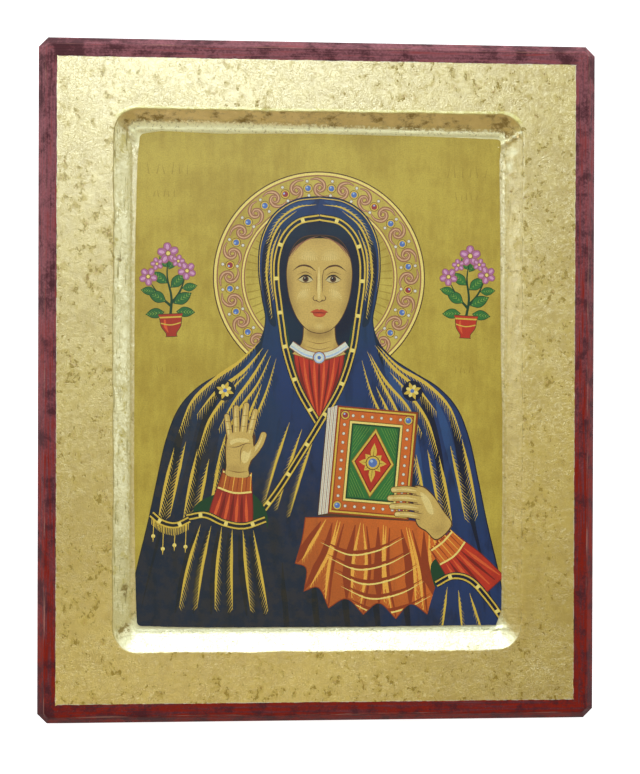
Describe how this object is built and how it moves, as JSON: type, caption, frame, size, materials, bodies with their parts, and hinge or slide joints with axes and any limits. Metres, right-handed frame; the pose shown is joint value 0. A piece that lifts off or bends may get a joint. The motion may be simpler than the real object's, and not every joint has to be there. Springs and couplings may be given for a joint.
{
  "type": "icon panel",
  "caption": "Rectangular gilded wooden icon panel with cut corners, a painted edge and a sunken field with sloping walls that holds a flat picture sheet.",
  "frame": {"origin": "middle of the flat underside, with the panel lying on its back", "axes": "+Z out of the picture face, +Y to the picture's top, +X to the picture's right as it is looked at"},
  "size_m": [0.246, 0.3, 0.02],
  "materials": {
    "gilded_board": "worn gold leaf on the face, maroon paint on the edges, plain wood behind",
    "painted_picture": "satin varnished paint"
  },
  "bodies": {
    "root": {"board": "gilded_board", "picture_sheet": "painted_picture"}
  },
  "joints": []
}
